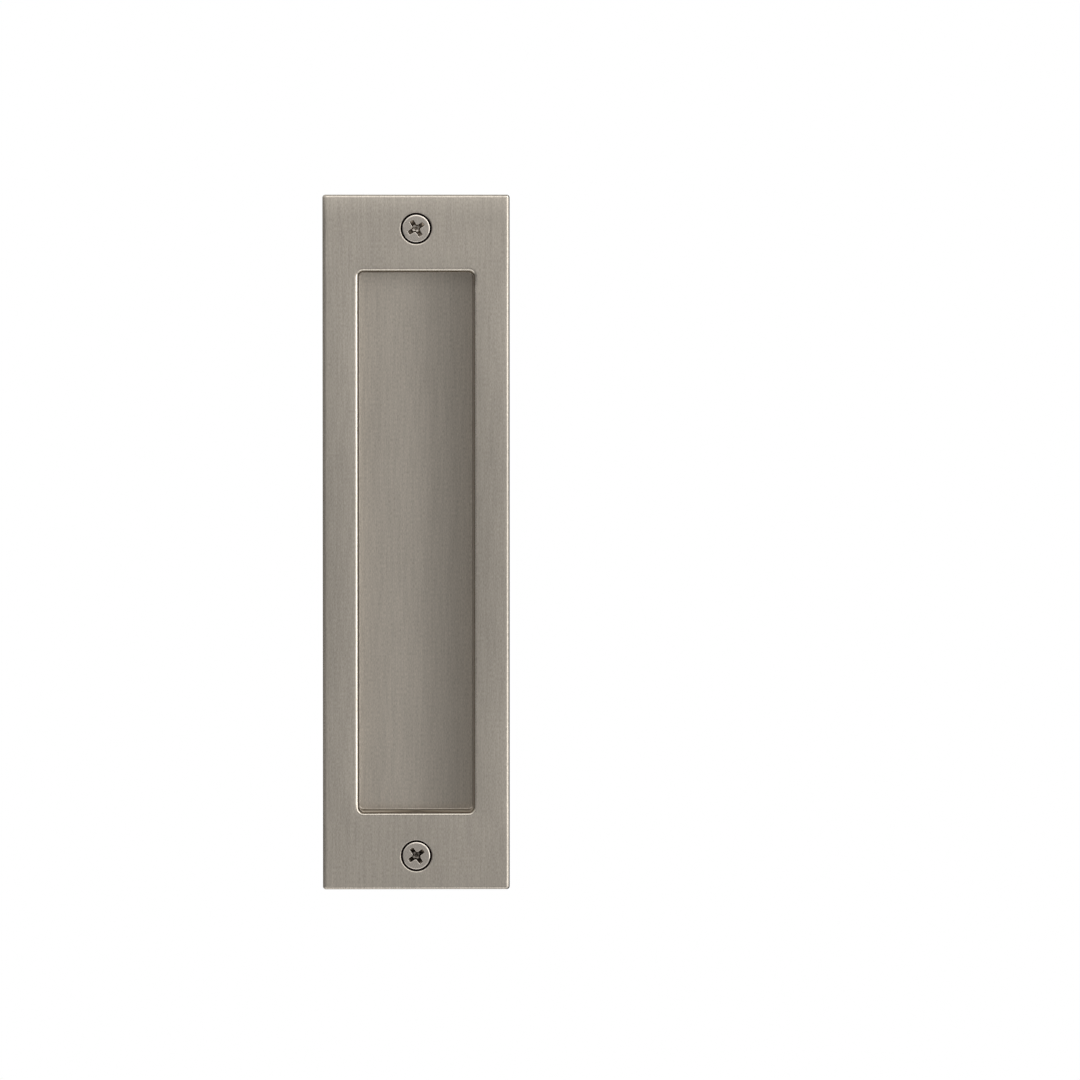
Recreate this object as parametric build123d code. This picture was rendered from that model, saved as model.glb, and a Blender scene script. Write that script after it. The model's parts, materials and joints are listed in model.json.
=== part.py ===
from build123d import *
import math
import os

os.makedirs("parts", exist_ok=True)

# The origin is the centre of the plate's back face, which lies on the door.
# +X is to the right as seen from the room, +Y goes into the door and +Z is up.

# Face plate, seen from the front
plate_width = 50.8
plate_height = 188.9
plate_thickness = 3.2
plate_corner_radius = 0.8
front_edge_radius = 0.7
back_edge_chamfer = 0.2

# Finger recess, from the plate's edges to its walls and from the front face to its floor
side_border = 9.7
end_border = 20.85
recess_depth = 11.0
wall_draft = 1.0
floor_corner_radius = 1.2
rim_radius = 0.9
floor_radius = 0.3

# Cup that closes the recess behind the plate
cup_wall = 1.8
cup_floor = 1.8
cup_back_radius = 1.2
cup_root_radius = 0.6

# Flat-head machine screws, with the neck's diameter left by the rolled thread
screw_diameter = 4.17
screw_length = 31.75
screw_point_chamfer = 0.6
neck_diameter = 3.65
neck_end_depth = 3.3
head_diameter = 7.7
head_land = 0.35
head_angle = 82.0
head_edge_chamfer = 0.25
screw_end_distance = 9.15
upper_screw_turn = 32.0
lower_screw_turn = 35.0

# Cross recess in the screw heads
cross_depth = 2.2
cross_span = 4.8
cross_root_span = 2.3
cross_wing_width = 1.15
cross_root_width = 0.8
cross_core_diameter = 2.1
cross_core_root_diameter = 1.3
cross_tip_depth = 0.35

# Clearances round the screws
shank_clearance = 0.17
head_ring_gap = 0.5
countersink_edge_radius = 0.5

# Sizes and places that follow from those above
front_y = -plate_thickness
draft_slope = math.tan(math.radians(wall_draft))
recess_width = plate_width - 2 * side_border
recess_height = plate_height - 2 * end_border
mouth_corner_radius = floor_corner_radius + recess_depth * draft_slope
cup_offset = cup_wall - plate_thickness * draft_slope
cup_reach = recess_depth + cup_floor - plate_thickness
cone_slope = math.tan(math.radians(head_angle / 2))
head_cone_depth = (head_diameter - neck_diameter) / 2 / cone_slope
thread_start_depth = neck_end_depth + (screw_diameter - neck_diameter) / 2
head_top_y = front_y + head_ring_gap / cone_slope - head_land
screw_z = plate_height / 2 - screw_end_distance


def door_plane(y):
    """A plane parallel to the door, at this depth, that faces the room with its y axis up."""
    return Plane(origin=(0, y, 0), x_dir=(1, 0, 0), z_dir=(0, -1, 0))


def room_side_face(plate):
    """The flat front face of the plate, which lies furthest from the door."""
    return plate.faces().sort_by(Axis.Y)[0]


def door_side_face(plate):
    """The flat ring at the back of the plate, which lies on the door."""
    return plate.faces().filter_by(Axis.Y).sort_by(lambda face: abs(face.center().Y))[0]


def screw_hole():
    """The space that one screw needs, with the countersink's mouth in the plane z = 0."""
    return CounterSinkHole(
        radius=screw_diameter / 2 + shank_clearance,
        counter_sink_radius=head_diameter / 2 + head_ring_gap,
        depth=plate_thickness,
        counter_sink_angle=head_angle,
    )


def recessed_plate():
    """Face plate and finger cup as one casting, with a countersunk hole near each end."""
    flange_outline = RectangleRounded(plate_width, plate_height, plate_corner_radius)
    flange = extrude(door_plane(0) * flange_outline, plate_thickness)

    cup_outline = RectangleRounded(
        recess_width + 2 * cup_offset,
        recess_height + 2 * cup_offset,
        mouth_corner_radius + cup_offset,
    )
    cup = extrude(door_plane(0) * cup_outline, -cup_reach, taper=wall_draft)
    cup = fillet(cup.faces().sort_by(Axis.Y)[-1].edges(), cup_back_radius)

    mouth_outline = RectangleRounded(recess_width, recess_height, mouth_corner_radius)
    hollow = extrude(door_plane(front_y) * mouth_outline, -recess_depth, taper=wall_draft)
    hollow = fillet(hollow.faces().sort_by(Axis.Y)[-1].edges(), floor_radius)

    plate = flange + cup - hollow

    # The front edges, the rim of the recess, then the back edges and the root of the cup
    plate = fillet(room_side_face(plate).outer_wire().edges(), front_edge_radius)
    plate = fillet(room_side_face(plate).inner_wires()[0].edges(), rim_radius)
    plate = chamfer(door_side_face(plate).outer_wire().edges(), back_edge_chamfer)
    plate = fillet(door_side_face(plate).inner_wires()[0].edges(), cup_root_radius)

    for z in (screw_z, -screw_z):
        plate -= door_plane(front_y) * Pos(0, z) * screw_hole()
    recess_mouth, *countersink_mouths = room_side_face(plate).inner_wires().sort_by(SortBy.LENGTH)[::-1]
    return fillet([mouth.edge() for mouth in countersink_mouths], countersink_edge_radius)


def cross_wings():
    """One pair of opposite wings of the cross recess, narrowing towards the point."""
    top = Rectangle(cross_span, cross_wing_width)
    root = Pos(0, 0, -cross_depth) * Rectangle(cross_root_span, cross_root_width)
    return loft([top.face(), root.face()], ruled=True)


def cross_recess():
    """The space that the driver's point fills: two pairs of wings round a tapered core."""
    core_outline = Polyline(
        (0, 0),
        (cross_core_diameter / 2, 0),
        (cross_core_root_diameter / 2, -cross_depth),
        (0, -cross_depth - cross_tip_depth),
        close=True,
    )
    core = revolve(Plane.XZ * make_face(core_outline), Axis.Z)
    return core + cross_wings() + Rot(0, 0, 90) * cross_wings()


def flat_head_screw():
    """A machine screw that points down the -Z axis, with the top of its head in the plane z = 0."""
    outline = Polyline(
        (0, 0),
        (head_diameter / 2, 0),
        (head_diameter / 2, -head_land),
        (neck_diameter / 2, -head_land - head_cone_depth),
        (neck_diameter / 2, -neck_end_depth),
        (screw_diameter / 2, -thread_start_depth),
        (screw_diameter / 2, screw_point_chamfer - screw_length),
        (screw_diameter / 2 - screw_point_chamfer, -screw_length),
        (0, -screw_length),
        close=True,
    )
    blank = revolve(Plane.XZ * make_face(outline), Axis.Z)
    top_edge = blank.faces().sort_by(Axis.Z)[-1].edges()
    return chamfer(top_edge, head_edge_chamfer) - cross_recess()


screws = {
    "upper_screw": (screw_z, upper_screw_turn),
    "lower_screw": (-screw_z, lower_screw_turn),
}

export_step(recessed_plate(), "parts/recessed_plate.step")
for name, (z, turn) in screws.items():
    screw = door_plane(head_top_y) * Pos(0, z) * Rot(0, 0, turn) * flat_head_screw()
    export_step(screw, f"parts/{name}.step")
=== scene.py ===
import json
import math

import bmesh
import bpy
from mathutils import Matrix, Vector

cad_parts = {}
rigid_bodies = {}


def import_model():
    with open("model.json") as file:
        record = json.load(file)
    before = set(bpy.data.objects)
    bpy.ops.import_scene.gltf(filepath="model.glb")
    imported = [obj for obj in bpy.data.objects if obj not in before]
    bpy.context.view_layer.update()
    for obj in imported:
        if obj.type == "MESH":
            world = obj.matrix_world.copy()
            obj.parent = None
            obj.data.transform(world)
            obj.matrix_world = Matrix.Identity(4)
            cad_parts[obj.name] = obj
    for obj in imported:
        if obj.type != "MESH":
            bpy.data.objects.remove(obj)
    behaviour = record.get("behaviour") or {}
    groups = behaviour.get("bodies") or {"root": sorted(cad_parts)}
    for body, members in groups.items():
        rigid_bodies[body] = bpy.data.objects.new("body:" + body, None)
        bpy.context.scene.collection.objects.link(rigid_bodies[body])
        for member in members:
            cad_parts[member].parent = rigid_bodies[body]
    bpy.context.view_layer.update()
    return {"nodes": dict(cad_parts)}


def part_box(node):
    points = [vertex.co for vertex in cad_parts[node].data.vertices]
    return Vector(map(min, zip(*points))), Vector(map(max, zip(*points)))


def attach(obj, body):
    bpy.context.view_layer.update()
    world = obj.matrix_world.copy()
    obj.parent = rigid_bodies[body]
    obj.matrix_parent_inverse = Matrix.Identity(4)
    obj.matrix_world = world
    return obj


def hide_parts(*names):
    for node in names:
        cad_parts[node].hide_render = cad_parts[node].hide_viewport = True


mm = 0.001

for leftover in list(bpy.data.objects):
    bpy.data.objects.remove(leftover)

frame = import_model()
plateLow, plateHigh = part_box("recessed_plate")
screwLow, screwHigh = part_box("upper_screw")
print("frame loaded:", sorted(frame["nodes"]))


# Node trees

class Value:
    # one output socket in an expression; + - * / on it add Math nodes to its tree
    def __init__(self, tree, socket):
        self.tree = tree
        self.socket = socket

    def math(self, operation, *others):
        sockets = dict(enumerate([self, *others]))
        return self.tree.add("ShaderNodeMath", {"operation": operation}, sockets)

    def reflected(self, operation, other):
        return self.tree.add("ShaderNodeMath", {"operation": operation}, {0: other, 1: self})

    def __add__(self, other):
        return self.math("ADD", other)

    def __sub__(self, other):
        return self.math("SUBTRACT", other)

    def __mul__(self, other):
        return self.math("MULTIPLY", other)

    def __truediv__(self, other):
        return self.math("DIVIDE", other)

    def __neg__(self):
        return self.math("MULTIPLY", -1.0)

    def __radd__(self, other):
        return self.reflected("ADD", other)

    def __rsub__(self, other):
        return self.reflected("SUBTRACT", other)

    def clamped(self, low=0.0, high=1.0):
        return self.math("MAXIMUM", low).math("MINIMUM", high)

    def at(self, name):
        return Value(self.tree, self.socket.node.outputs[name])


class Tree:
    # a node tree, geometry or shader, to which nodes are added by one method
    def __init__(self, nodeTree):
        self.nodes = nodeTree.nodes
        self.links = nodeTree.links

    def add(self, kind, settings=None, sockets=None, out=0):
        node = self.nodes.new(kind)
        for name, setting in (settings or {}).items():
            if name == "items":
                for _ in range(setting - 2):
                    node.index_switch_items.new()
            else:
                setattr(node, name, setting)
        for key, given in (sockets or {}).items():
            for value in given if isinstance(given, list) else [given]:
                self.feed(self.socket(node, key), value)
        return Value(self, node.outputs[out]) if node.outputs else None

    def socket(self, node, key):
        if isinstance(key, int):
            return node.inputs[key]
        return next(s for s in node.inputs if key in (s.identifier, s.name))

    def feed(self, socket, value):
        if isinstance(value, Value):
            self.links.new(value.socket, socket)
        else:
            socket.default_value = value

    def vector(self, x=0.0, y=0.0, z=0.0):
        return self.add("ShaderNodeCombineXYZ", None, {0: x, 1: y, 2: z})


class ShapeTree(Tree):
    # a Geometry Nodes tree with named inputs, drawn in mm on the plane that faces the room
    def __init__(self, name, sizes):
        self.group = bpy.data.node_groups.new(name, "GeometryNodeTree")
        super().__init__(self.group)
        interface = self.group.interface
        interface.new_socket("Geometry", in_out="INPUT", socket_type="NodeSocketGeometry")
        self.sizes = sizes
        self.identifiers = {}
        for label, size in sizes.items():
            kind = "NodeSocketInt" if isinstance(size, int) else "NodeSocketFloat"
            socket = interface.new_socket(label, in_out="INPUT", socket_type=kind)
            self.identifiers[label] = socket.identifier
        socket = interface.new_socket("Finish", in_out="INPUT", socket_type="NodeSocketMaterial")
        self.identifiers["Finish"] = socket.identifier
        interface.new_socket("Geometry", in_out="OUTPUT", socket_type="NodeSocketGeometry")
        self.given = self.nodes.new("NodeGroupInput")

    def size(self, label):
        return Value(self, self.given.outputs[label])

    # An open outline through corners given as (outward, depth, rounding radius)
    def outline(self, corners, steps):
        line = self.add("GeometryNodeMeshLine", None, {"Count": len(corners)})
        index = self.add("GeometryNodeInputIndex")
        places = {0: index}
        radii = {0: index}
        for number, (outward, depth, radius) in enumerate(corners, 1):
            places[number] = self.vector(outward, depth)
            radii[number] = radius
        items = len(corners)
        place = self.add("GeometryNodeIndexSwitch", {"data_type": "VECTOR", "items": items}, places)
        radius = self.add("GeometryNodeIndexSwitch", {"data_type": "FLOAT", "items": items}, radii)
        placed = self.add("GeometryNodeSetPosition", None, {"Geometry": line, "Position": place})
        curve = self.add("GeometryNodeMeshToCurve", None, {"Mesh": placed})
        return self.rounded(curve, radius, steps)

    def rounded(self, curve, radius, steps):
        sockets = {"Curve": curve, "Radius": radius, "Count": steps}
        return self.add("GeometryNodeFilletCurve", {"mode": "POLY"}, sockets)

    # A closed path with round corners, centred on the origin
    def roundedPath(self, width, height, radius, steps):
        sockets = {"Width": width, "Height": height}
        frameLine = self.add("GeometryNodeCurvePrimitiveQuadrilateral", None, sockets)
        return self.rounded(frameLine, radius, steps)

    def circlePath(self, radius, steps):
        return self.add("GeometryNodeCurvePrimitiveCircle", None, {"Radius": radius, "Resolution": steps})

    # The outline is carried round the path, outwards from it and down into the door
    def sweep(self, path, outline):
        return self.add("GeometryNodeCurveToMesh", None, {"Curve": path, "Profile Curve": outline})

    def moved(self, geometry, x=0.0, y=0.0, z=0.0):
        sockets = {"Geometry": geometry, "Translation": self.vector(x, y, z)}
        return self.add("GeometryNodeTransform", None, sockets)

    def joined(self, pieces):
        return self.add("GeometryNodeJoinGeometry", None, {"Geometry": pieces[::-1]})

    def welded(self, geometry):
        return self.add("GeometryNodeMergeByDistance", None, {"Geometry": geometry, "Distance": 0.0005})

    # Fills the open rims that lie at this height with one flat face
    def filledAt(self, shell, height):
        level = self.add("ShaderNodeSeparateXYZ", None, {0: self.add("GeometryNodeInputPosition")}).at("Z")
        near = (level - height).math("ABSOLUTE").math("LESS_THAN", 0.001)
        openEdge = self.add("GeometryNodeInputMeshEdgeNeighbors").math("LESS_THAN", 1.5)
        rims = self.add("GeometryNodeMeshToCurve", None, {"Mesh": shell, "Selection": near * openEdge})
        face = self.add("GeometryNodeFillCurve", {"mode": "TRIANGLES"}, {"Curve": rims})
        return self.moved(face, z=height)

    def finish(self, geometry):
        realized = self.add("GeometryNodeRealizeInstances", None, {"Geometry": geometry})
        facing = {"Geometry": realized, "Rotation": (math.radians(90), 0, 0), "Scale": (mm, mm, mm)}
        placed = self.add("GeometryNodeTransform", None, facing)
        smooth = self.add("GeometryNodeSetShadeSmooth", None, {"Geometry": placed})
        sockets = {"Geometry": smooth, "Material": self.size("Finish")}
        finished = self.add("GeometryNodeSetMaterial", None, sockets)
        output = self.nodes.new("NodeGroupOutput")
        self.links.new(finished.socket, output.inputs[0])

    # Runs the tree on an object and keeps what it makes as a plain mesh
    def grow(self, name, material, base=None):
        seed = bpy.data.objects.new(name + "Seed", base or bpy.data.meshes.new(name + "Seed"))
        modifier = seed.modifiers.new("shape", "NODES")
        modifier.node_group = self.group
        for label, size in self.sizes.items():
            modifier[self.identifiers[label]] = size
        modifier[self.identifiers["Finish"]] = material
        bpy.context.scene.collection.objects.link(seed)
        evaluated = seed.evaluated_get(bpy.context.evaluated_depsgraph_get())
        mesh = bpy.data.meshes.new_from_object(evaluated)
        mesh.name = name
        bpy.data.objects.remove(seed)
        piece = bpy.data.objects.new(name, mesh)
        bpy.context.scene.collection.objects.link(piece)
        return piece


def facedOutwards(piece):
    shape = bmesh.new()
    shape.from_mesh(piece.data)
    bmesh.ops.recalc_face_normals(shape, faces=shape.faces)
    openEdges = sum(1 for edge in shape.edges if len(edge.link_faces) != 2)
    shape.to_mesh(piece.data)
    volume = round(shape.calc_volume() * 1e9, 1)
    print(piece.name, "faces", len(shape.faces), "open edges", openEdges, "volume mm3", volume)
    shape.free()


# The plate and its cup, one casting

plate = {
    "Width": (plateHigh.x - plateLow.x) / mm,
    "Height": (plateHigh.z - plateLow.z) / mm,
    "Thickness": -plateLow.y / mm,
    "Cup Reach": plateHigh.y / mm,
    "Corner Radius": 0.8,
    "Front Edge Radius": 0.7,
    "Back Chamfer": 0.2,
    "Side Border": 9.7,
    "End Border": 20.85,
    "Recess Depth": 11.0,
    "Draft": 1.0,
    "Floor Corner Radius": 1.2,
    "Rim Radius": 0.9,
    "Floor Radius": 0.3,
    "Cup Wall": 1.8,
    "Cup Back Radius": 1.2,
    "Cup Root Radius": 0.6,
    "Screw End Distance": 9.15,
    "Hole Radius": 2.255,
    "Countersink Radius": 4.35,
    "Countersink Angle": 82.0,
    "Countersink Edge Radius": 0.5,
    "Rounding Steps": 14,
    "Hole Steps": 96,
}


def plateTree():
    tree = ShapeTree("recessedPlateShape", plate)
    size = tree.size
    steps = size("Rounding Steps")
    thickness = size("Thickness")
    flat = 0.05  # a narrow flat strip beside each rounding, so that the large faces shade flat

    slope = (size("Draft") * (math.pi / 180)).math("TANGENT")
    narrowing = size("Recess Depth") * slope
    outerPath = tree.roundedPath(size("Width"), size("Height"), size("Corner Radius"), steps)
    mouthPath = tree.roundedPath(
        size("Width") - size("Side Border") * 2.0,
        size("Height") - size("End Border") * 2.0,
        size("Floor Corner Radius") + narrowing,
        steps,
    )

    # Depths are measured from the front face, which is at height 0 until the whole is lowered
    edge = tree.outline([
        (-(size("Front Edge Radius") + flat), 0.0, 0.0),
        (0.0, 0.0, size("Front Edge Radius")),
        (0.0, thickness - size("Back Chamfer"), 0.0),
        (-size("Back Chamfer"), thickness, 0.0),
        (-size("Back Chamfer") - flat, thickness, 0.0),
    ], steps)
    recess = tree.outline([
        (size("Rim Radius") + flat, 0.0, 0.0),
        (0.0, 0.0, size("Rim Radius")),
        (-narrowing, size("Recess Depth"), size("Floor Radius")),
        (-narrowing - size("Floor Radius") - flat * 2, size("Recess Depth"), 0.0),
    ], steps)

    cupBack = thickness + size("Cup Reach")
    cupRoot = size("Cup Wall") - thickness * slope
    cupEnd = cupRoot - size("Cup Reach") * slope
    cup = tree.outline([
        (cupRoot + size("Cup Root Radius") + flat, thickness, 0.0),
        (cupRoot, thickness, size("Cup Root Radius")),
        (cupEnd, cupBack, size("Cup Back Radius")),
        (cupEnd - size("Cup Back Radius") - flat * 2, cupBack, 0.0),
    ], steps)

    coneSlope = (size("Countersink Angle") * (math.pi / 360)).math("TANGENT")
    widening = size("Countersink Radius") - size("Hole Radius")
    hole = tree.outline([
        (widening + size("Countersink Edge Radius"), 0.0, 0.0),
        (widening, 0.0, size("Countersink Edge Radius")),
        (0.0, widening / coneSlope, 0.0),
        (0.0, thickness, 0.0),
    ], steps)
    bore = tree.sweep(tree.circlePath(size("Hole Radius"), size("Hole Steps")), hole)
    screwPlace = size("Height") / 2 - size("Screw End Distance")

    shell = tree.welded(tree.joined([
        tree.sweep(outerPath, edge),
        tree.sweep(mouthPath, recess),
        tree.sweep(mouthPath, cup),
        tree.moved(bore, y=screwPlace),
        tree.moved(bore, y=-screwPlace),
    ]))
    levels = [0.0, -thickness, -size("Recess Depth"), -cupBack]
    faces = [tree.filledAt(shell, level) for level in levels]
    whole = tree.welded(tree.joined([shell, *faces]))
    tree.finish(tree.moved(whole, z=thickness))
    return tree


# Finishes

satin = {
    "name": "satinNickel",
    "colour": (0.408, 0.370, 0.320),
    "roughness": 0.45,
    "anisotropy": 0.9,
    "grazingTint": (0.42, 0.39, 0.35, 1.0),
    "edgeRoughness": 0.27,
    "streakWidth": 0.38,
    "streakLength": 9.0,
    "scratchWidth": 0.20,
    "scratchLength": 0.8,
    "cloudSize": 16.0,
    "colourRange": 0.34,
    "roughnessRange": 0.12,
    "streakHeight": 0.0006,
    "crownSlope": 0.065,
    "crownBlend": 4.0,
    "endSlope": 0.09,
    "endLength": 6.5,
}
bright = {
    "name": "screwNickel",
    "colour": (0.495, 0.450, 0.398),
    "roughness": 0.28,
    "anisotropy": 0.0,
    "grazingTint": (0.5, 0.46, 0.42, 1.0),
    "edgeRoughness": 0.17,
    "streakWidth": 0.20,
    "streakLength": 0.8,
    "scratchWidth": 0.05,
    "scratchLength": 0.4,
    "cloudSize": 3.0,
    "colourRange": 0.10,
    "roughnessRange": 0.15,
    "streakHeight": 0.0005,
}
shares = {
    "streakTone": 0.55,
    "scratchTone": 1.25,
    "cloudTone": 0.2,
    "scratchRoughness": 0.6,
    "cloudRoughness": 0.5,
    "scratchHeight": 0.35,
}
rubbing = {
    "depth": 1.6,
    "softness": 0.4,
    "flatFacing": 0.996,
    "flatSoftness": 0.02,
    "sideFacing": 0.05,
    "sideSoftness": 0.1,
}
# Sizes of the painted light on the recess floor
floorLight = {
    "above": 0.8,
    "below": 0.5,
    "softness": 0.4,
    "tone": 0.17,
    "marginStart": 10.5,
    "marginWidth": 4.5,
    "marginTone": 0.17,
}
# Sizes of the painted shade in each screw's countersink gap and in the deep part of its cross recess
ring = {
    "innerRadius": 3.68,
    "outerRadius": 4.45,
    "startDepth": 0.05,
    "endDepth": 2.6,
    "softness": 0.08,
    "shade": 0.98,
    "crossRadius": 2.9,
    "crossDepth": 0.55,
    "crossSoftness": 0.5,
    "crossShade": 0.75,
    "upperCrossShade": 0.35,
}
# Sizes of the painted shade bands under the recess rim, round its floor and along the long edges
shadeBands = {
    "startDepth": 0.48,
    "endDepth": 1.6,
    "leftEndDepth": 10.0,
    "margin": 0.4,
    "softness": 0.12,
    "fading": 0.72,
    "sideBand": 1.5,
    "rimShade": 0.8,
    "floorReach": 0.45,
    "floorMargin": 0.04,
    "floorShade": 0.35,
    "edgeReach": 0.26,
    "rightEdgeReach": 0.45,
    "edgeDepth": 0.8,
    "edgeSoftness": 0.06,
    "edgeShade": 0.7,
}
wear = {
    "rimReach": 1.15,
    "rimSlope": 0.20,
    "crispRadius": 0.6,
    "crispSlope": 0.33,
    "leftFrom": 10.0,
    "topFrom": 68.0,
    "footFrom": -74.0,
    "blend": 3.0,
    "fadeDepth": 8.0,
    "edgeReach": 1.10,
    "edgeSlope": 0.36,
    "headReach": 0.55,
    "headSlope": 0.34,
}
# Sizes of the painted shade on the side borders
borderShade = {
    "reach": 52.0,
    "leftShade": 0.075,
    "rightShade": 0.13,
    "margin": 0.5,
    "depth": 1.0,
    "softness": 0.4,
}
# The dark colour that all painted shade is mixed towards
paintedShadeColour = (0.024, 0.018, 0.014, 1.0)


# Noise drawn out along the plate's length, centred on zero
def grain(tree, place, width, length, detail=2.0):
    stretched = tree.add("ShaderNodeVectorMath", {"operation": "MULTIPLY"}, {
        0: place,
        1: (1 / width / mm, 1 / width / mm, 1 / length / mm),
    })
    sockets = {"Vector": stretched, "Scale": 1.0, "Detail": detail, "Roughness": 0.55}
    return tree.add("ShaderNodeTexNoise", {"noise_dimensions": "3D"}, sockets) - 0.5


def nickel(finish):
    material = bpy.data.materials.new(finish["name"])
    material.use_nodes = True
    tree = Tree(material.node_tree)
    tree.nodes.clear()
    place = tree.add("ShaderNodeTexCoord").at("Object")
    streaks = grain(tree, place, finish["streakWidth"], finish["streakLength"])
    scratches = grain(tree, place, finish["scratchWidth"], finish["scratchLength"])
    clouds = grain(tree, place, finish["cloudSize"], finish["cloudSize"] * 2, 3.0)

    mixed = streaks * shares["streakTone"] + scratches * shares["scratchTone"] + clouds * shares["cloudTone"]
    tone = 1.0 + mixed * finish["colourRange"] * 2.0
    if finish is satin:
        # Painted light lifts the recess floor and painted shade darkens the side borders at mid-height
        tone = tone * (1.0 + paintedFloorLight(tree, place)) * (1.0 - paintedBorderShade(tree, place))
    base = tree.add("ShaderNodeVectorMath", {"operation": "SCALE"}, {0: finish["colour"], "Scale": tone})
    # Painted shade: the screw gaps, cross recesses, recess rim, floor corner and long edges are mixed
    # towards a dark colour
    paintedShadeAmount = (paintedScrewShade(tree, place) * ring["shade"]).math("MAXIMUM", paintedShadeBands(tree, place))
    base = tree.add("ShaderNodeMix", {"data_type": "RGBA"}, {
        "Factor_Float": paintedShadeAmount,
        "A_Color": base,
        "B_Color": paintedShadeColour,
    }, out=2)
    mixed = streaks - scratches * shares["scratchRoughness"] + clouds * shares["cloudRoughness"]
    rough = 1.0 + mixed * finish["roughnessRange"] * 2.0

    height = (streaks + scratches * shares["scratchHeight"]) * (finish["streakHeight"] * mm)
    if finish is satin:
        height = height + crown(tree, place, finish) + wornEdges(tree, place)
    else:
        height = height + wornHead(tree, place)
    bump = tree.add("ShaderNodeBump", None, {"Strength": 1.0, "Distance": 1.0, "Height": height})
    brushed = metal(tree, finish, base, bump, rough * finish["roughness"], finish["anisotropy"])
    rubbed = metal(tree, finish, base, bump, rough * finish["edgeRoughness"], 0.0)
    sockets = {0: burnish(tree, place), 1: brushed, 2: rubbed}
    shader = tree.add("ShaderNodeMixShader", None, sockets)
    tree.add("ShaderNodeOutputMaterial", None, {"Surface": shader})
    return material


def metal(tree, finish, base, bump, rough, anisotropy):
    return tree.add("ShaderNodeBsdfPrincipled", None, {
        "Base Color": base,
        "Metallic": 1.0,
        "Roughness": rough,
        "Anisotropic": anisotropy,
        "Specular Tint": finish["grazingTint"],
        "Normal": bump,
    })


# Rounded edges at the front are rubbed smoother than the brushed faces beside them
def burnish(tree, place):
    facing = tree.add("ShaderNodeSeparateXYZ", None, {0: tree.add("ShaderNodeTexCoord").at("Normal")})
    facing = facing.at("Y").math("ABSOLUTE")
    depth = tree.add("ShaderNodeSeparateXYZ", None, {0: place}).at("Y") - plateLow.y
    front = ((rubbing["depth"] * mm - depth) / (rubbing["softness"] * mm)).clamped()
    offFlat = ((rubbing["flatFacing"] - facing) / rubbing["flatSoftness"]).clamped()
    return offFlat * ((facing - rubbing["sideFacing"]) / rubbing["sideSoftness"]).clamped() * front


# Painted light: the floor of the recess is made paler than the face, most beside its side walls
def paintedFloorLight(tree, place):
    split = tree.add("ShaderNodeSeparateXYZ", None, {0: place})
    rise = (split.at("Y") - plateLow.y) / mm - plate["Recess Depth"]
    soft = floorLight["softness"]
    level = ((rise + floorLight["above"]) / soft).clamped() * ((floorLight["below"] - rise) / soft).clamped()
    sideways = split.at("X").math("ABSOLUTE") / mm
    margin = ((sideways - floorLight["marginStart"]) / floorLight["marginWidth"]).clamped()
    return level * (margin * floorLight["marginTone"] + floorLight["tone"])


# Painted shade: the narrow ring between a screw's head and its countersink, and the deep part of each cross
# recess, are darkened in the colour, the lower screw's recess more than the upper's
def paintedScrewShade(tree, place):
    split = tree.add("ShaderNodeSeparateXYZ", None, {0: place})
    screwZ = (screwLow.z + screwHigh.z) / 2
    along = split.at("Z").math("ABSOLUTE") - screwZ
    radius = (split.at("X") * split.at("X") + along * along).math("SQRT")
    depth = split.at("Y") - plateLow.y
    soft = ring["softness"] * mm
    inside = ((ring["outerRadius"] * mm - radius) / soft).clamped()
    inside = inside * ((radius - ring["innerRadius"] * mm) / soft).clamped()
    below = ((depth - ring["startDepth"] * mm) / soft).clamped()
    inside = inside * below * ((ring["endDepth"] * mm - depth) / soft).clamped()
    deep = ((depth - ring["crossDepth"] * mm) / (ring["crossSoftness"] * mm)).clamped()
    upper = (split.at("Z") / mm).clamped()
    shade = ring["crossShade"] + upper * (ring["upperCrossShade"] - ring["crossShade"])
    deep = deep * radius.math("LESS_THAN", ring["crossRadius"] * mm) * shade
    return inside.math("MAXIMUM", deep)


# Painted shade: a dark band under the rim of the recess except on its right side, a band round the floor's
# corner and a band along the plate's long edges
def paintedShadeBands(tree, place):
    split = tree.add("ShaderNodeSeparateXYZ", None, {0: place})
    sideways = split.at("X").math("ABSOLUTE")
    depth = split.at("Y") - plateLow.y
    soft = shadeBands["softness"] * mm
    halfWidth = plateHigh.x + (shadeBands["margin"] - plate["Side Border"]) * mm
    halfHeight = plateHigh.z + (shadeBands["margin"] - plate["End Border"]) * mm
    inside = sideways.math("LESS_THAN", halfWidth)
    inside = inside * split.at("Z").math("ABSOLUTE").math("LESS_THAN", halfHeight)

    below = ((depth - shadeBands["startDepth"] * mm) / soft).clamped()
    toLeft = ((-split.at("X") - halfWidth) / mm + shadeBands["sideBand"]).clamped()
    toRight = ((split.at("X") - halfWidth) / mm + shadeBands["sideBand"]).clamped()
    end = shadeBands["endDepth"] + toLeft * (shadeBands["leftEndDepth"] - shadeBands["endDepth"])
    below = below * ((end * mm - depth) / (shadeBands["fading"] * mm)).clamped()
    rimShade = (1.0 - toRight) * shadeBands["rimShade"]

    bottom = plate["Recess Depth"] * mm
    corner = ((depth - bottom + shadeBands["floorReach"] * mm) / soft).clamped()
    corner = corner * ((bottom - depth) / (shadeBands["floorMargin"] * mm)).clamped() * shadeBands["floorShade"]

    onRight = (split.at("X") / mm).clamped()
    edgeReach = shadeBands["edgeReach"] + onRight * (shadeBands["rightEdgeReach"] - shadeBands["edgeReach"])
    shadedEdge = ((sideways - plateHigh.x + edgeReach * mm) / (shadeBands["edgeSoftness"] * mm)).clamped()
    shadedEdge = shadedEdge * ((shadeBands["edgeDepth"] * mm - depth) / soft).clamped() * shadeBands["edgeShade"]
    return (inside * (below * rimShade).math("MAXIMUM", corner)).math("MAXIMUM", shadedEdge)


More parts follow.
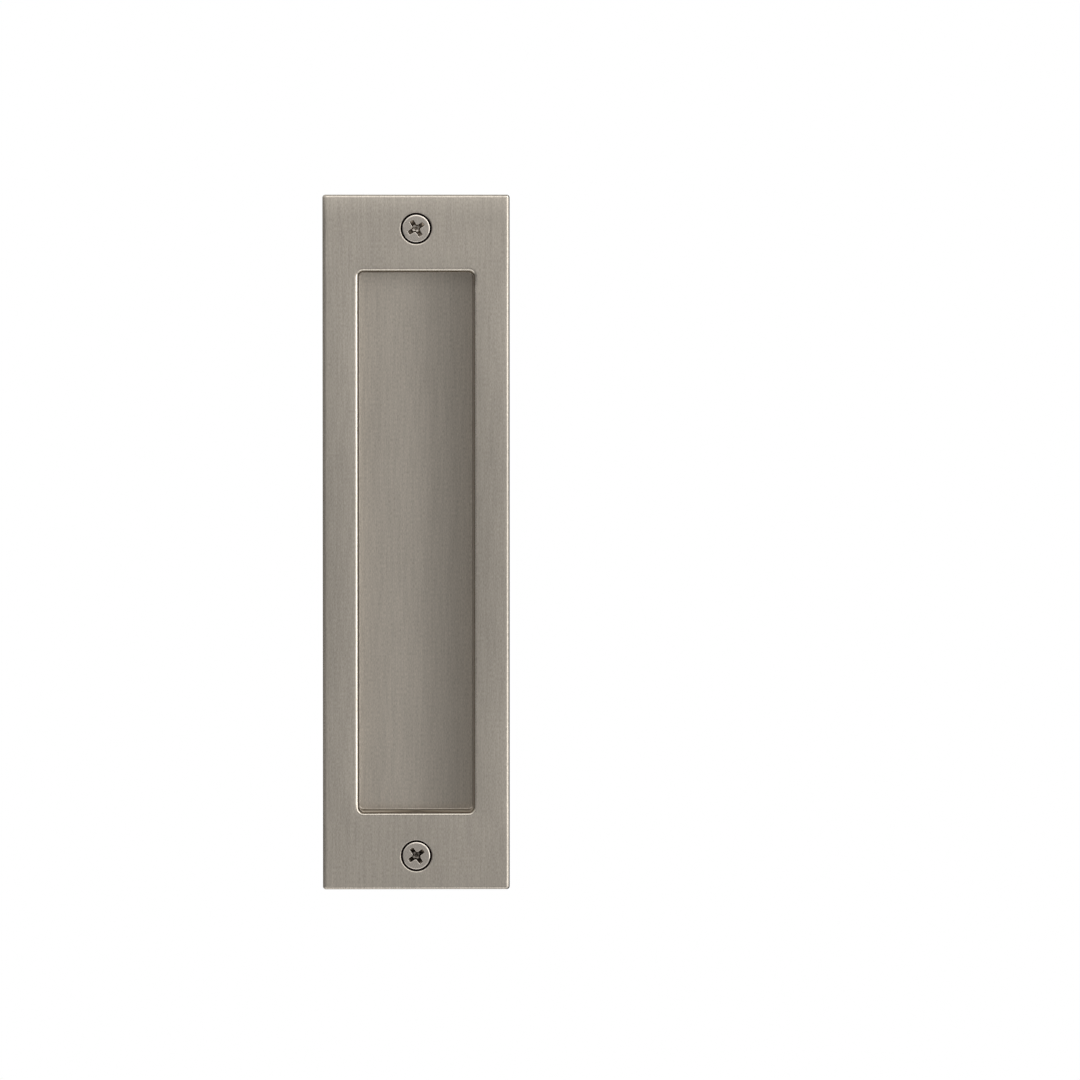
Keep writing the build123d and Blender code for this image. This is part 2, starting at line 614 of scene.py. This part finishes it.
# The upper and left rim of the recess and the plate's long edges are worn rounder, the other rims are crisp
def wornEdges(tree, place):
    split = tree.add("ShaderNodeSeparateXYZ", None, {0: place})
    sideways = split.at("X").math("ABSOLUTE")
    upwards = split.at("Z").math("ABSOLUTE")
    slope = math.tan(math.radians(plate["Draft"]))
    corner = (plate["Floor Corner Radius"] + plate["Recess Depth"] * slope) * mm
    beyondX = sideways - (plateHigh.x - plate["Side Border"] * mm - corner)
    beyondZ = upwards - (plateHigh.z - plate["End Border"] * mm - corner)
    outX = beyondX.math("MAXIMUM", 0.0)
    outZ = beyondZ.math("MAXIMUM", 0.0)
    fromWall = (outX * outX + outZ * outZ).math("SQRT") - corner
    worn = wornDrop(fromWall, plate["Rim Radius"], wear["rimReach"], wear["rimSlope"])
    crisp = wornDrop(fromWall, wear["crispRadius"], plate["Rim Radius"], -wear["crispSlope"])
    toLeft = (-split.at("X") / mm - wear["leftFrom"]).clamped()
    toTop = ((split.at("Z") / mm - wear["topFrom"]) / wear["blend"]).clamped()
    aboveFoot = ((split.at("Z") / mm - wear["footFrom"]) / wear["blend"]).clamped()
    rim = crisp + (worn - crisp) * toLeft.math("MAXIMUM", toTop) * aboveFoot
    rim = rim * (1.0 - (split.at("Y") - plateLow.y) / (wear["fadeDepth"] * mm)).clamped()
    fromEdge = plateHigh.x - sideways
    return rim + wornDrop(fromEdge, plate["Front Edge Radius"], wear["edgeReach"], wear["edgeSlope"])


# So are the edges of the screws' heads
def wornHead(tree, place):
    split = tree.add("ShaderNodeSeparateXYZ", None, {0: place})
    along = split.at("Z").math("ABSOLUTE") - (screwLow.z + screwHigh.z) / 2
    radius = (split.at("X") * split.at("X") + along * along).math("SQRT")
    fromEdge = screwHigh.x - radius
    return wornDrop(fromEdge, screws["Head Edge Radius"], wear["headReach"], wear["headSlope"])


# How far the surface drops at this distance from an edge, steepest at the radius and flat from the reach on
def wornDrop(distance, radius, reach, slope):
    near = (distance / (radius * mm)).clamped()
    far = ((reach * mm - distance) / ((reach - radius) * mm)).clamped()
    return (near * near * radius - far * far * (reach - radius) - radius) * (0.5 * mm * slope)


# Painted shade: the side borders are a little darker at mid-height, most on the right
def paintedBorderShade(tree, place):
    split = tree.add("ShaderNodeSeparateXYZ", None, {0: place})
    along = split.at("Z") / (borderShade["reach"] * mm)
    fromRim = (split.at("X").math("ABSOLUTE") - plateHigh.x) / mm + plate["Side Border"]
    beside = (fromRim + borderShade["margin"]).clamped()
    toRight = (split.at("X") / mm).clamped()
    shade = borderShade["leftShade"] + toRight * (borderShade["rightShade"] - borderShade["leftShade"])
    front = ((borderShade["depth"] - (split.at("Y") - plateLow.y) / mm) / borderShade["softness"]).clamped()
    return (1.0 - along * along).clamped() * beside * front * shade


# Polishing leaves each side border slightly domed and lets the plate fall away towards its top edge
def crown(tree, place, finish):
    split = tree.add("ShaderNodeSeparateXYZ", None, {0: place})
    halfBorder = plate["Side Border"] / 2 * mm
    middle = plateHigh.x - halfBorder
    across = ((split.at("X").math("ABSOLUTE") - middle) / halfBorder).clamped(-1.0, 1.0)
    recessEnd = plateHigh.z - plate["End Border"] * mm
    blend = finish["crownBlend"] * mm
    beside = ((recessEnd + blend - split.at("Z").math("ABSOLUTE")) / (blend * 2)).clamped()
    dome = across * across * beside * (-0.5 * finish["crownSlope"] * halfBorder)
    endLength = finish["endLength"] * mm
    fall = ((split.at("Z") - plateHigh.z + endLength) / endLength).clamped()
    return dome + fall * fall * (-0.5 * finish["endSlope"] * endLength)


satinNickel = nickel(satin)

plateObject = plateTree().grow("recessedPlate", satinNickel)
facedOutwards(plateObject)
plateObject.modifiers.new("largeFacesShadeFlat", "WEIGHTED_NORMAL")
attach(plateObject, "root")
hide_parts("recessed_plate")
print("plate made")


# The two flat-head screws

screws = {
    "Head Radius": (screwHigh.x - screwLow.x) / mm / 2,
    "Length": (screwHigh.y - screwLow.y) / mm,
    "Head Top": -screwLow.y / mm,
    "Place": (screwHigh.z + screwLow.z) / mm / 2,
    "Head Edge Radius": 0.3,
    "Head Land": 0.35,
    "Land Rounding": 0.06,
    "Head Angle": 82.0,
    "Neck Rounding": 0.2,
    "Neck Radius": 1.825,
    "Neck End": 3.3,
    "Thread Radius": 2.085,
    "Thread Root Radius": 1.655,
    "Thread Pitch": 0.794,
    "Rows Per Turn": 8,
    "Round Steps": 72,
    "Point Chamfer": 0.6,
    "Upper Turn": 32.0,
    "Lower Turn": 35.0,
}
cross = {
    "span": 4.8,
    "rootSpan": 2.3,
    "wingWidth": 1.15,
    "rootWidth": 0.8,
    "coreDiameter": 2.1,
    "coreRootDiameter": 1.3,
    "depth": 2.2,
    "tipDepth": 0.35,
    "endSlope": 1.3,
    "edgeRounding": 0.12,
    "edgeRings": 6,
    "wallRings": 12,
    "tipSteps": 6,
    "sideSteps": 12,
    "tipSharpness": 14.0,
    "coreSharpness": 9.0,
    "edgeStrip": 0.03,
    "tipShares": (1.0, 0.72, 0.45, 0.2),
}
thread = {
    "flankSteepness": 1.6,
    "crestShare": 0.35,
    "runInTurns": 1.2,
}
headFlat = 0.05


# One round of the cross's outline at this depth, widened by this much
def crossRound(depth, widening):
    share = min(depth / cross["depth"], 1.0)
    ended = 1 - (1 - share) ** cross["endSlope"]  # the wings' ends slope gently at the top
    half = (cross["span"] * (1 - ended) + cross["rootSpan"] * ended) / 2 + widening
    wing = (cross["wingWidth"] * (1 - share) + cross["rootWidth"] * share) / 2 + widening
    core = (cross["coreDiameter"] * (1 - share) + cross["coreRootDiameter"] * share) / 2 + widening
    spots = []
    for step in range(cross["tipSteps"]):
        spots.append((half, wing * math.sin(math.pi / 2 * step / cross["tipSteps"])))
    for step in range(cross["sideSteps"]):
        along = 0.5 - 0.5 * math.cos(math.pi * step / cross["sideSteps"])
        spots.append((half + (wing - half) * along, wing))
    angles = [math.atan2(y, x) for x, y in spots]
    quarter = angles + [math.pi / 4] + [math.pi / 2 - angle for angle in angles[:0:-1]]
    ring = []
    for turn in range(4):
        for angle in quarter:
            arm = abs((angle + math.pi / 4) % (math.pi / 2) - math.pi / 4)
            sharp = cross["tipSharpness"]
            reach = ((math.cos(arm) / half) ** sharp + (math.sin(arm) / wing) ** sharp) ** (-1 / sharp)
            blend = cross["coreSharpness"]
            radius = (reach ** blend + core ** blend) ** (1 / blend)
            heading = angle + turn * math.pi / 2
            ring.append((radius * math.cos(heading), radius * math.sin(heading), -depth))
    return ring


# The flat top of a head and the cross recess in it, in mm, open at its round rim
def headTop():
    rounding = cross["edgeRounding"]
    rings = [crossRound(0.0, rounding + cross["edgeStrip"])]
    for step in range(cross["edgeRings"] + 1):
        angle = math.pi / 2 * step / cross["edgeRings"]
        ring = crossRound(0.0, rounding * (1 - math.sin(angle)))
        rings.append([(x, y, -rounding * (1 - math.cos(angle))) for x, y, z in ring])
    for step in range(1, cross["wallRings"] + 1):
        depth = rounding + (cross["depth"] - rounding) * step / cross["wallRings"]
        rings.append(crossRound(depth, 0.0))
    core = cross["coreRootDiameter"] / 2
    for share in cross["tipShares"]:
        depth = cross["depth"] + cross["tipDepth"] * (1 - share)
        ring = []
        for x, y, z in rings[-1]:
            length = math.hypot(x, y)
            ring.append((x / length * core * share, y / length * core * share, -depth))
        rings.append(ring)

    around = len(rings[0])
    rim = screws["Head Radius"] - screws["Head Edge Radius"] - headFlat
    steps = screws["Round Steps"]
    turns = [2 * math.pi * step / steps for step in range(steps)]
    points = [(rim * math.cos(turn), rim * math.sin(turn), 0.0) for turn in turns]
    faces = []
    for step in range(steps):
        inner = [steps + (2 * step + more) % around for more in range(3)]
        faces.append((step, inner[1], inner[0]))
        faces.append((step, (step + 1) % steps, inner[1]))
        faces.append(((step + 1) % steps, inner[2], inner[1]))
    for number, ring in enumerate(rings):
        points += ring
        if number:
            outer = steps + (number - 1) * around
            inner = steps + number * around
            for step in range(around):
                after = (step + 1) % around
                faces.append((outer + step, outer + after, inner + after, inner + step))
    last = len(points) - around
    tip = len(points)
    points.append((0.0, 0.0, -cross["depth"] - cross["tipDepth"]))
    for step in range(around):
        faces.append((last + step, last + (step + 1) % around, tip))
    mesh = bpy.data.meshes.new("headTop")
    mesh.from_pydata(points, [], faces)
    return mesh


def screwTree():
    tree = ShapeTree("screwShape", screws)
    size = tree.size
    headRadius = size("Head Radius")
    neckRadius = size("Neck Radius")
    steps = size("Round Steps")

    # The side of the head and its neck, turned round the screw's axis
    coneSlope = (size("Head Angle") * (math.pi / 360)).math("TANGENT")
    coneEnd = size("Head Land") + (headRadius - neckRadius) / coneSlope
    side = tree.outline([
        (-(size("Head Edge Radius") + headFlat), 0.0, 0.0),
        (0.0, 0.0, size("Head Edge Radius")),
        (0.0, size("Head Land"), size("Land Rounding")),
        (neckRadius - headRadius, coneEnd, size("Neck Rounding")),
        (neckRadius - headRadius, size("Neck End"), 0.0),
    ], 8)
    head = tree.sweep(tree.circlePath(headRadius, steps), side)

    # The thread: each column of the grid starts a little lower than the one before, one pitch in a turn
    pitch = size("Thread Pitch")
    threadLength = size("Length") - size("Neck End")
    turns = threadLength / pitch + 1.0
    rows = (turns * size("Rows Per Turn")).math("CEIL")
    counts = {"Size X": 1.0, "Size Y": 1.0, "Vertices X": steps + 1.0, "Vertices Y": rows + 1.0}
    grid = tree.add("GeometryNodeMeshGrid", None, counts)
    place = tree.add("ShaderNodeSeparateXYZ", None, {0: tree.add("GeometryNodeInputPosition")})
    around = place.at("X") + 0.5
    row = (place.at("Y") + 0.5) * rows / size("Rows Per Turn")
    depth = ((row + around - 1.0) * pitch).math("MAXIMUM", 0.0).math("MINIMUM", threadLength)
    wave = 1.0 - ((row.math("FRACT") - 0.5).math("ABSOLUTE")) * 2.0
    crest = (wave * thread["flankSteepness"] - thread["crestShare"]).clamped()
    root = size("Thread Root Radius")
    full = root + (size("Thread Radius") - root) * crest
    started = (depth / (pitch * thread["runInTurns"])).clamped()
    radius = neckRadius + (full - neckRadius) * started
    radius = radius.math("MINIMUM", size("Thread Radius") - size("Point Chamfer") + threadLength - depth)
    angle = around * (2 * math.pi)
    x = radius * angle.math("COSINE")
    y = radius * angle.math("SINE")
    place = tree.vector(x, y, -(depth + size("Neck End")))
    threaded = tree.add("GeometryNodeSetPosition", None, {"Geometry": grid, "Position": place})

    headTopMesh = Value(tree, tree.given.outputs["Geometry"])
    shell = tree.welded(tree.joined([headTopMesh, head, threaded]))
    screw = tree.welded(tree.joined([shell, tree.filledAt(shell, -size("Length"))]))

    # One screw near each end of the plate, each turned as it was last driven
    spots = tree.add("GeometryNodeMeshLine", None, {
        "Count": 2,
        "Start Location": tree.vector(0.0, size("Place"), size("Head Top")),
        "Offset": tree.vector(0.0, size("Place") * -2.0, 0.0),
    })
    turn = tree.add("GeometryNodeIndexSwitch", {"data_type": "FLOAT"}, {
        0: tree.add("GeometryNodeInputIndex"),
        1: size("Upper Turn") * (math.pi / 180),
        2: size("Lower Turn") * (math.pi / 180),
    })
    turned = tree.add("FunctionNodeEulerToRotation", None, {0: tree.vector(0.0, 0.0, turn)})
    sockets = {"Points": spots, "Instance": screw, "Rotation": turned}
    tree.finish(tree.add("GeometryNodeInstanceOnPoints", None, sockets))
    return tree


screwNickel = nickel(bright)
screwObject = screwTree().grow("flatHeadScrews", screwNickel, base=headTop())
facedOutwards(screwObject)
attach(screwObject, "root")
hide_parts("upper_screw", "lower_screw")
print("screws made")


# Stage: floor, backdrop light and camera

look = {
    "distance": 2.45,
    "elevation": 2.1,
    "azimuth": -0.5,
    "frameWidth": 0.2935,
    "photoSize": 1080,
    "plateCentrePx": (416.2, 542.4),
}
lights = {
    "white": 1.0,
    "ambient": 0.55,
    "frontShade": 0.50,
    "leftShade": 0.36,
    "backShade": 0.25,
    "rightGlow": 2.9,
    "topGlow": 1.4,
    "lowGlow": 1.7,
}


def plainMaterial(name, colour, roughness):
    material = bpy.data.materials.new(name)
    material.use_nodes = True
    shader = material.node_tree.nodes["Principled BSDF"]
    shader.inputs["Base Color"].default_value = (*colour, 1.0)
    shader.inputs["Roughness"].default_value = roughness
    return material


def glowMaterial(name, strength):
    material = bpy.data.materials.new(name)
    material.use_nodes = True
    tree = Tree(material.node_tree)
    tree.nodes.clear()
    glow = tree.add("ShaderNodeEmission", None, {"Color": (1, 1, 1, 1), "Strength": strength})
    tree.add("ShaderNodeOutputMaterial", None, {"Surface": glow})
    return material


def stagePlane(name, corners, material):
    mesh = bpy.data.meshes.new(name)
    mesh.from_pydata(corners, [], [tuple(range(len(corners)))])
    mesh.materials.append(material)
    sheet = bpy.data.objects.new(name, mesh)
    bpy.context.scene.collection.objects.link(sheet)
    return sheet


# A lamp whose face glows this many times as bright as the white background
def softLamp(name, place, width, height, glow):
    lamp = bpy.data.lights.new(name, "AREA")
    lamp.shape = "RECTANGLE"
    lamp.size = width
    lamp.size_y = height
    lamp.energy = glow * math.pi * width * height
    holder = bpy.data.objects.new(name, lamp)
    holder.location = place
    holder.rotation_euler = (-Vector(place)).to_track_quat("-Z", "Y").to_euler()
    holder.visible_camera = False
    bpy.context.scene.collection.objects.link(holder)


floor = {
    "level": plateLow.z - 0.25,
    "side": 3,
    "back": 0.9,
    "colour": (0.8, 0.8, 0.79),
    "roughness": 0.6,
}
paleFloor = stagePlane("floor", [
    (-floor["side"], -floor["side"], floor["level"]),
    (floor["side"], -floor["side"], floor["level"]),
    (floor["side"], floor["back"], floor["level"]),
    (-floor["side"], floor["back"], floor["level"]),
], plainMaterial("paleFloor", floor["colour"], floor["roughness"]))
paleFloor.visible_glossy = False  # the metal sees the white background below as well

# Grey cards round the plate and a pale one below it, which only the metal sees
def greyCard(name, corners, shade):
    card = stagePlane(name, corners, glowMaterial(name, shade))
    for part in ("camera", "diffuse", "shadow", "transmission"):
        setattr(card, "visible_" + part, False)


cards = {
    "left": -3.1,
    "right": 1.5,
    "front": -3.1,
    "back": 0.3,
    "low": -2.6,
    "high": 0.62,
}
greyCard("frontCard", [
    (cards["left"], cards["front"], cards["low"]),
    (cards["right"], cards["front"], cards["low"]),
    (cards["right"], cards["front"], cards["high"]),
    (cards["left"], cards["front"], cards["high"]),
], lights["frontShade"])
greyCard("leftCard", [
    (cards["left"], cards["back"], cards["low"]),
    (cards["left"], cards["front"], cards["low"]),
    (cards["left"], cards["front"], cards["high"]),
    (cards["left"], cards["back"], cards["high"]),
], lights["leftShade"])
greyCard("backCard", [
    (0.05, 0.15, cards["low"]),
    (2.4, 0.30, cards["low"]),
    (2.4, 0.30, 2.0),
    (0.05, 0.15, 2.0),
], lights["backShade"])
greyCard("lowCard", [
    (-1.0, -0.75, -0.7),
    (1.0, -0.75, -0.7),
    (1.0, -0.10, -0.7),
    (-1.0, -0.10, -0.7),
], lights["lowGlow"])

softLamp("rightLamp", (1.5, -0.55, 0.6), 1.5, 2.5, lights["rightGlow"])
softLamp("topLamp", (0.1, -1.55, 1.26), 1.6, 1.5, lights["topGlow"])

world = bpy.data.worlds.new("studioWhite")
bpy.context.scene.world = world
world.use_nodes = True
sky = Tree(world.node_tree)
sky.nodes.clear()
rays = sky.add("ShaderNodeLightPath")
seen = (rays.at("Is Camera Ray") + rays.at("Is Glossy Ray") + rays.at("Is Transmission Ray")).clamped()
strength = lights["ambient"] + seen * (lights["white"] - lights["ambient"])
background = sky.add("ShaderNodeBackground", None, {"Color": (1, 1, 1, 1), "Strength": strength})
sky.add("ShaderNodeOutputWorld", None, {"Surface": background})

# The camera stands in front of the plate and is turned a little, so that the plate lies left of the middle
azimuth = math.radians(look["azimuth"])
elevation = math.radians(look["elevation"])
away = Vector((
    math.sin(azimuth) * math.cos(elevation),
    -math.cos(azimuth) * math.cos(elevation),
    math.sin(elevation),
))
plateFront = Vector((0, plateLow.y, (plateLow.z + plateHigh.z) / 2))
pixel = look["frameWidth"] / look["photoSize"]
centreX, centreY = look["plateCentrePx"]
aim = plateFront + Vector((look["photoSize"] / 2 - centreX, 0, centreY - look["photoSize"] / 2)) * pixel
camera = bpy.data.objects.new("camera", bpy.data.cameras.new("camera"))
camera.location = plateFront + away * look["distance"]
camera.rotation_euler = (aim - camera.location).to_track_quat("-Z", "Y").to_euler()
camera.data.sensor_width = 36.0
camera.data.lens = 36.0 * look["distance"] / look["frameWidth"]
camera.data.clip_end = 50.0
bpy.context.scene.collection.objects.link(camera)
bpy.context.scene.camera = camera
bpy.context.scene.view_settings.view_transform = "Standard"
print("stage and camera made")
